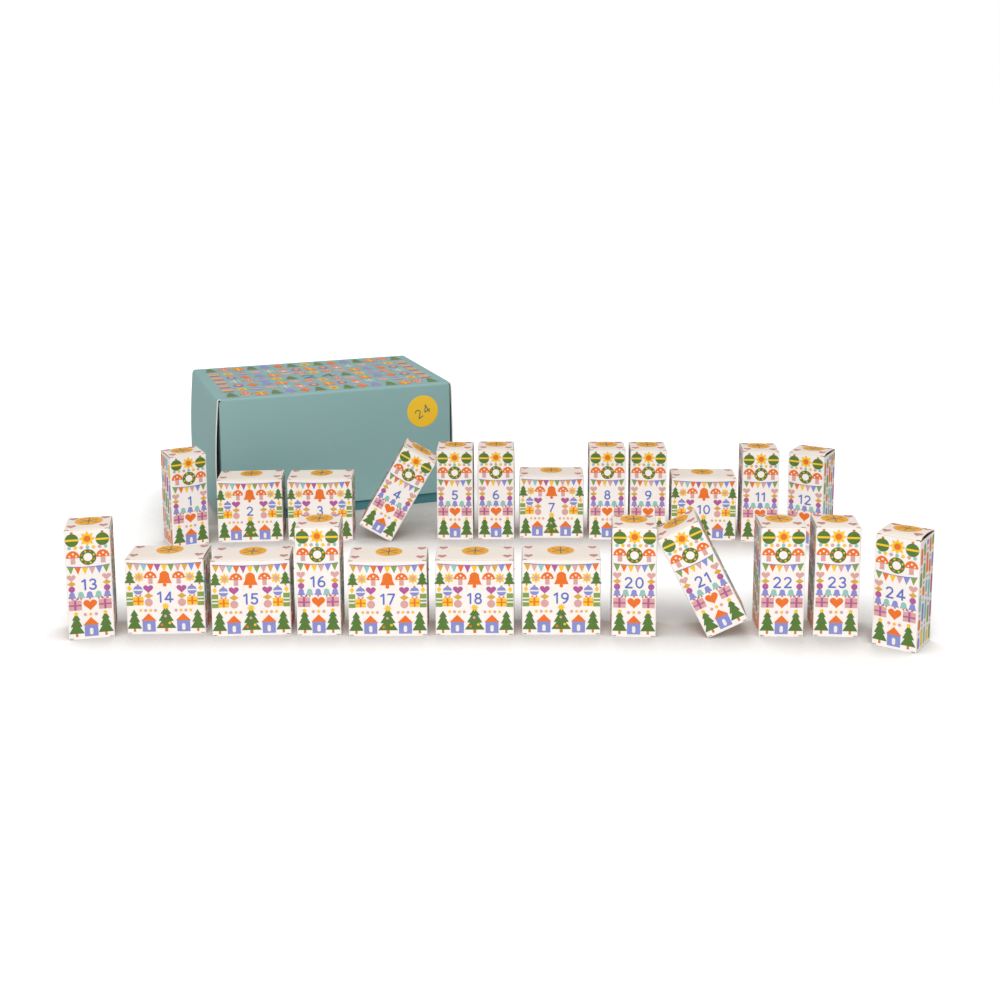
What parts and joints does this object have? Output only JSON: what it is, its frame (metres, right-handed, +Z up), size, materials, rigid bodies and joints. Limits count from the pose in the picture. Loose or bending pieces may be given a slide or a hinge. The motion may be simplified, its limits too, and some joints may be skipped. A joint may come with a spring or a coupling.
{
  "type": "advent calendar",
  "caption": "Advent calendar: a lidded storage box and a set of small numbered folding cartons with hinged tuck-in lids, standing in two rows in front of it.",
  "frame": {"origin": "middle of the set's footprint on the floor", "axes": "+X along the rows to the viewer's right, -Y towards the viewer, +Z up"},
  "size_m": [0.6878, 0.5878, 0.13],
  "materials": {
    "carton_board": "matt printed boxboard",
    "carton_lid_board": "matt printed boxboard",
    "lid_board": "satin varnished teal print",
    "tray_board": "satin varnished dark teal print",
    "sticker_paper": "gloss paper"
  },
  "bodies": {
    "box_tray": {"box_tray": "tray_board"},
    "box_lid": {"box_lid": "lid_board", "box_sticker": "sticker_paper"},
    "carton_01": {"carton_01_body": "carton_board"},
    "carton_01_lid": {"carton_01_lid": "carton_lid_board"},
    "carton_02": {"carton_02_body": "carton_board"},
    "carton_02_lid": {"carton_02_lid": "carton_lid_board"},
    "carton_03": {"carton_03_body": "carton_board"},
    "carton_03_lid": {"carton_03_lid": "carton_lid_board"},
    "carton_04": {"carton_04_body": "carton_board"},
    "carton_04_lid": {"carton_04_lid": "carton_lid_board"},
    "carton_05": {"carton_05_body": "carton_board"},
    "carton_05_lid": {"carton_05_lid": "carton_lid_board"},
    "carton_06": {"carton_06_body": "carton_board"},
    "carton_06_lid": {"carton_06_lid": "carton_lid_board"},
    "carton_07": {"carton_07_body": "carton_board"},
    "carton_07_lid": {"carton_07_lid": "carton_lid_board"},
    "carton_08": {"carton_08_body": "carton_board"},
    "carton_08_lid": {"carton_08_lid": "carton_lid_board"},
    "carton_09": {"carton_09_body": "carton_board"},
    "carton_09_lid": {"carton_09_lid": "carton_lid_board"},
    "carton_10": {"carton_10_body": "carton_board"},
    "carton_10_lid": {"carton_10_lid": "carton_lid_board"},
    "carton_11": {"carton_11_body": "carton_board"},
    "carton_11_lid": {"carton_11_lid": "carton_lid_board"},
    "carton_12": {"carton_12_body": "carton_board"},
    "carton_12_lid": {"carton_12_lid": "carton_lid_board"},
    "carton_13": {"carton_13_body": "carton_board"},
    "carton_13_lid": {"carton_13_lid": "carton_lid_board"},
    "carton_14": {"carton_14_body": "carton_board"},
    "carton_14_lid": {"carton_14_lid": "carton_lid_board"},
    "carton_15": {"carton_15_body": "carton_board"},
    "carton_15_lid": {"carton_15_lid": "carton_lid_board"},
    "carton_16": {"carton_16_body": "carton_board"},
    "carton_16_lid": {"carton_16_lid": "carton_lid_board"},
    "carton_17": {"carton_17_body": "carton_board"},
    "carton_17_lid": {"carton_17_lid": "carton_lid_board"},
    "carton_18": {"carton_18_body": "carton_board"},
    "carton_18_lid": {"carton_18_lid": "carton_lid_board"},
    "carton_19": {"carton_19_body": "carton_board"},
    "carton_19_lid": {"carton_19_lid": "carton_lid_board"},
    "carton_20": {"carton_20_body": "carton_board"},
    "carton_20_lid": {"carton_20_lid": "carton_lid_board"},
    "carton_21": {"carton_21_body": "carton_board"},
    "carton_21_lid": {"carton_21_lid": "carton_lid_board"},
    "carton_22": {"carton_22_body": "carton_board"},
    "carton_22_lid": {"carton_22_lid": "carton_lid_board"},
    "carton_23": {"carton_23_body": "carton_board"},
    "carton_23_lid": {"carton_23_lid": "carton_lid_board"},
    "carton_24": {"carton_24_body": "carton_board"},
    "carton_24_lid": {"carton_24_lid": "carton_lid_board"}
  },
  "joints": [
    {"name": "box_lid_lift", "type": "slide", "parent": "box_tray", "child": "box_lid", "axis": [0, 0, 1], "range_m": [0, 0.13]},
    {"name": "carton_01_lift", "type": "slide", "parent": "box_tray", "child": "carton_01", "axis": [0, 0, 1], "range_m": [0, 0.12]},
    {"name": "carton_01_lid_hinge", "type": "hinge", "parent": "carton_01", "child": "carton_01_lid", "pos_m": [-0.30974, 0.00504, 0.08925], "axis": [-0.8796, -0.4756, 0], "range_deg": [0, 110]},
    {"name": "carton_02_lift", "type": "slide", "parent": "box_tray", "child": "carton_02", "axis": [0, 0, 1], "range_m": [0, 0.12]},
    {"name": "carton_02_lid_hinge", "type": "hinge", "parent": "carton_02", "child": "carton_02_lid", "pos_m": [-0.24053, 0.02216, 0.06175], "axis": [-0.9974, -0.0715, 0], "range_deg": [0, 110]},
    {"name": "carton_03_lift", "type": "slide", "parent": "box_tray", "child": "carton_03", "axis": [0, 0, 1], "range_m": [0, 0.12]},
    {"name": "carton_03_lid_hinge", "type": "hinge", "parent": "carton_03", "child": "carton_03_lid", "pos_m": [-0.17112, 0.02373, 0.06175], "axis": [-0.9996, -0.0297, 0], "range_deg": [0, 110]},
    {"name": "carton_04_stand", "type": "hinge", "parent": "box_tray", "child": "carton_04", "pos_m": [-0.10127, 0.00323, 0], "axis": [-0.0157, -0.9999, 0], "range_deg": [0, 29.7]},
    {"name": "carton_04_lid_hinge", "type": "hinge", "parent": "carton_04", "child": "carton_04_lid", "pos_m": [-0.07198, 0.02027, 0.0862], "axis": [-0.8685, 0.0136, 0.4955], "range_deg": [0, 110]},
    {"name": "carton_05_lift", "type": "slide", "parent": "box_tray", "child": "carton_05", "axis": [0, 0, 1], "range_m": [0, 0.12]},
    {"name": "carton_05_lid_hinge", "type": "hinge", "parent": "carton_05", "child": "carton_05_lid", "pos_m": [-0.03841, 0.02674, 0.08925], "axis": [-0.9999, 0.0157, 0], "range_deg": [0, 110]},
    {"name": "carton_06_lift", "type": "slide", "parent": "box_tray", "child": "carton_06", "axis": [0, 0, 1], "range_m": [0, 0.12]},
    {"name": "carton_06_lid_hinge", "type": "hinge", "parent": "carton_06", "child": "carton_06_lid", "pos_m": [0.00164, 0.02724, 0.08925], "axis": [-0.9999, 0.0157, 0], "range_deg": [0, 110]},
    {"name": "carton_07_lift", "type": "slide", "parent": "box_tray", "child": "carton_07", "axis": [0, 0, 1], "range_m": [0, 0.12]},
    {"name": "carton_07_lid_hinge", "type": "hinge", "parent": "carton_07", "child": "carton_07_lid", "pos_m": [0.05618, 0.03124, 0.06175], "axis": [-0.9997, 0.0227, 0], "range_deg": [0, 110]},
    {"name": "carton_08_lift", "type": "slide", "parent": "box_tray", "child": "carton_08", "axis": [0, 0, 1], "range_m": [0, 0.12]},
    {"name": "carton_08_lid_hinge", "type": "hinge", "parent": "carton_08", "child": "carton_08_lid", "pos_m": [0.11002, 0.02524, 0.08925], "axis": [-0.9998, 0.0175, 0], "range_deg": [0, 110]},
    {"name": "carton_09_lift", "type": "slide", "parent": "box_tray", "child": "carton_09", "axis": [0, 0, 1], "range_m": [0, 0.12]},
    {"name": "carton_09_lid_hinge", "type": "hinge", "parent": "carton_09", "child": "carton_09_lid", "pos_m": [0.15029, 0.02372, 0.08925], "axis": [-0.9993, 0.0366, 0], "range_deg": [0, 110]},
    {"name": "carton_10_lift", "type": "slide", "parent": "box_tray", "child": "carton_10", "axis": [0, 0, 1], "range_m": [0, 0.12]},
    {"name": "carton_10_lid_hinge", "type": "hinge", "parent": "carton_10", "child": "carton_10_lid", "pos_m": [0.20494, 0.02269, 0.06175], "axis": [-0.9984, 0.0558, 0], "range_deg": [0, 110]},
    {"name": "carton_11_lift", "type": "slide", "parent": "box_tray", "child": "carton_11", "axis": [0, 0, 1], "range_m": [0, 0.12]},
    {"name": "carton_11_lid_hinge", "type": "hinge", "parent": "carton_11", "child": "carton_11_lid", "pos_m": [0.2588, 0.01668, 0.08925], "axis": [-0.998, 0.0628, 0], "range_deg": [0, 110]},
    {"name": "carton_12_lift", "type": "slide", "parent": "box_tray", "child": "carton_12", "axis": [0, 0, 1], "range_m": [0, 0.12]},
    {"name": "carton_12_lid_hinge", "type": "hinge", "parent": "carton_12", "child": "carton_12_lid", "pos_m": [0.31533, 0.00122, 0.08925], "axis": [-0.8563, 0.5165, 0], "range_deg": [0, 110]},
    {"name": "carton_13_lift", "type": "slide", "parent": "box_tray", "child": "carton_13", "axis": [0, 0, 1], "range_m": [0, 0.12]},
    {"name": "carton_13_lid_hinge", "type": "hinge", "parent": "carton_13", "child": "carton_13_lid", "pos_m": [-0.32703, -0.22357, 0.08925], "axis": [-0.9767, -0.2147, 0], "range_deg": [0, 110]},
    {"name": "carton_14_lift", "type": "slide", "parent": "box_tray", "child": "carton_14", "axis": [0, 0, 1], "range_m": [0, 0.12]},
    {"name": "carton_14_lid_hinge", "type": "hinge", "parent": "carton_14", "child": "carton_14_lid", "pos_m": [-0.26318, -0.21326, 0.06175], "axis": [-0.9997, -0.0227, 0], "range_deg": [0, 110]},
    {"name": "carton_15_lift", "type": "slide", "parent": "box_tray", "child": "carton_15", "axis": [0, 0, 1], "range_m": [0, 0.12]},
    {"name": "carton_15_lid_hinge", "type": "hinge", "parent": "carton_15", "child": "carton_15_lid", "pos_m": [-0.19546, -0.21783, 0.06175], "axis": [-0.9979, -0.0645, 0], "range_deg": [0, 110]},
    {"name": "carton_16_lift", "type": "slide", "parent": "box_tray", "child": "carton_16", "axis": [0, 0, 1], "range_m": [0, 0.12]},
    {"name": "carton_16_lid_hinge", "type": "hinge", "parent": "carton_16", "child": "carton_16_lid", "pos_m": [-0.14052, -0.21827, 0.08925], "axis": [-0.9995, -0.0314, 0], "range_deg": [0, 110]},
    {"name": "carton_17_lift", "type": "slide", "parent": "box_tray", "child": "carton_17", "axis": [0, 0, 1], "range_m": [0, 0.12]},
    {"name": "carton_17_lid_hinge", "type": "hinge", "parent": "carton_17", "child": "carton_17_lid", "pos_m": [-0.08468, -0.21976, 0.06175], "axis": [-0.9999, -0.0122, 0], "range_deg": [0, 110]},
    {"name": "carton_18_lift", "type": "slide", "parent": "box_tray", "child": "carton_18", "axis": [0, 0, 1], "range_m": [0, 0.12]},
    {"name": "carton_18_lid_hinge", "type": "hinge", "parent": "carton_18", "child": "carton_18_lid", "pos_m": [-0.01477, -0.21876, 0.06175], "axis": [-0.9999, 0.014, 0], "range_deg": [0, 110]},
    {"name": "carton_19_lift", "type": "slide", "parent": "box_tray", "child": "carton_19", "axis": [0, 0, 1], "range_m": [0, 0.12]},
    {"name": "carton_19_lid_hinge", "type": "hinge", "parent": "carton_19", "child": "carton_19_lid", "pos_m": [0.05427, -0.21826, 0.06175], "axis": [-0.9999, 0.0157, 0], "range_deg": [0, 110]},
    {"name": "carton_20_lift", "type": "slide", "parent": "box_tray", "child": "carton_20", "axis": [0, 0, 1], "range_m": [0, 0.12]},
    {"name": "carton_20_lid_hinge", "type": "hinge", "parent": "carton_20", "child": "carton_20_lid", "pos_m": [0.11312, -0.22332, 0.08925], "axis": [-0.9981, 0.061, 0], "range_deg": [0, 110]},
    {"name": "carton_21_stand", "type": "hinge", "parent": "box_tray", "child": "carton_21", "pos_m": [0.17073, -0.24387, 0], "axis": [0.061, 0.9981, 0], "range_deg": [0, 27]},
    {"name": "carton_21_lid_hinge", "type": "hinge", "parent": "carton_21", "child": "carton_21_lid", "pos_m": [0.14692, -0.22489, 0.08747], "axis": [-0.8893, 0.0544, -0.454], "range_deg": [0, 110]},
    {"name": "carton_22_lift", "type": "slide", "parent": "box_tray", "child": "carton_22", "axis": [0, 0, 1], "range_m": [0, 0.12]},
    {"name": "carton_22_lid_hinge", "type": "hinge", "parent": "carton_22", "child": "carton_22_lid", "pos_m": [0.22912, -0.22377, 0.08925], "axis": [-0.9995, 0.0314, 0], "range_deg": [0, 110]},
    {"name": "carton_23_lift", "type": "slide", "parent": "box_tray", "child": "carton_23", "axis": [0, 0, 1], "range_m": [0, 0.12]},
    {"name": "carton_23_lid_hinge", "type": "hinge", "parent": "carton_23", "child": "carton_23_lid", "pos_m": [0.27415, -0.22439, 0.08925], "axis": [-0.996, 0.0889, 0], "range_deg": [0, 110]},
    {"name": "carton_24_lift", "type": "slide", "parent": "box_tray", "child": "carton_24", "axis": [0, 0, 1], "range_m": [0, 0.12]},
    {"name": "carton_24_lid_hinge", "type": "hinge", "parent": "carton_24", "child": "carton_24_lid", "pos_m": [0.32993, -0.25551, 0.08925], "axis": [-0.8211, 0.5707, 0], "range_deg": [0, 110]}
  ],
  "couplings": [
    {"joint": "carton_04_lid_hinge", "follows": "carton_04_stand", "ratio": 3.7003},
    {"joint": "carton_21_lid_hinge", "follows": "carton_21_stand", "ratio": 4.0704}
  ]
}
